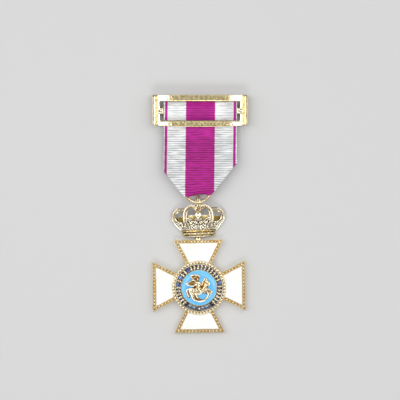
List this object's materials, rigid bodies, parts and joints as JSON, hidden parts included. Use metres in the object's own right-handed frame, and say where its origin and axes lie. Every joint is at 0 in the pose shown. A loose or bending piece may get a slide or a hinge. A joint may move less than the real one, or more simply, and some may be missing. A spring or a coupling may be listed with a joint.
{
  "type": "order cross with crown and ribbon",
  "caption": "Order cross: enamelled cross with a medallion, hung from a pierced crown, two rings and a folded ribbon on a brooch frame, lying face up.",
  "frame": {"origin": "centre of the whole object's outline, on the surface that it lies on", "axes": "+Y from the cross to the brooch frame, +Z from the back to the face, +X to the right seen from the face"},
  "size_m": [0.039, 0.0977, 0.006],
  "materials": {
    "gilt_polished": "polished gilding",
    "gilt_wire": "polished gilding",
    "gilt_cast": "cast and gilded, bright on the high places",
    "gilt_relief": "pale gilding, darker in the hollows",
    "ribbon_cloth": "ribbed grosgrain, white and crimson stripes",
    "enamel_white": "glossy white enamel",
    "enamel_navy": "glossy dark blue enamel",
    "enamel_sky": "glossy light blue enamel"
  },
  "bodies": {
    "root": {"brooch_frame": "gilt_polished", "brooch_pin": "gilt_polished", "ribbon": "ribbon_cloth", "hanger_ring": "gilt_wire", "jump_ring": "gilt_wire", "crown": "gilt_cast", "cross": "gilt_cast", "enamel_top": "enamel_white", "enamel_left": "enamel_white", "enamel_right": "enamel_white", "enamel_bottom": "enamel_white", "medallion_ring": "gilt_cast", "band_enamel": "enamel_navy", "band_ornament": "gilt_relief", "centre_enamel": "enamel_sky", "horseman": "gilt_relief"}
  },
  "joints": []
}
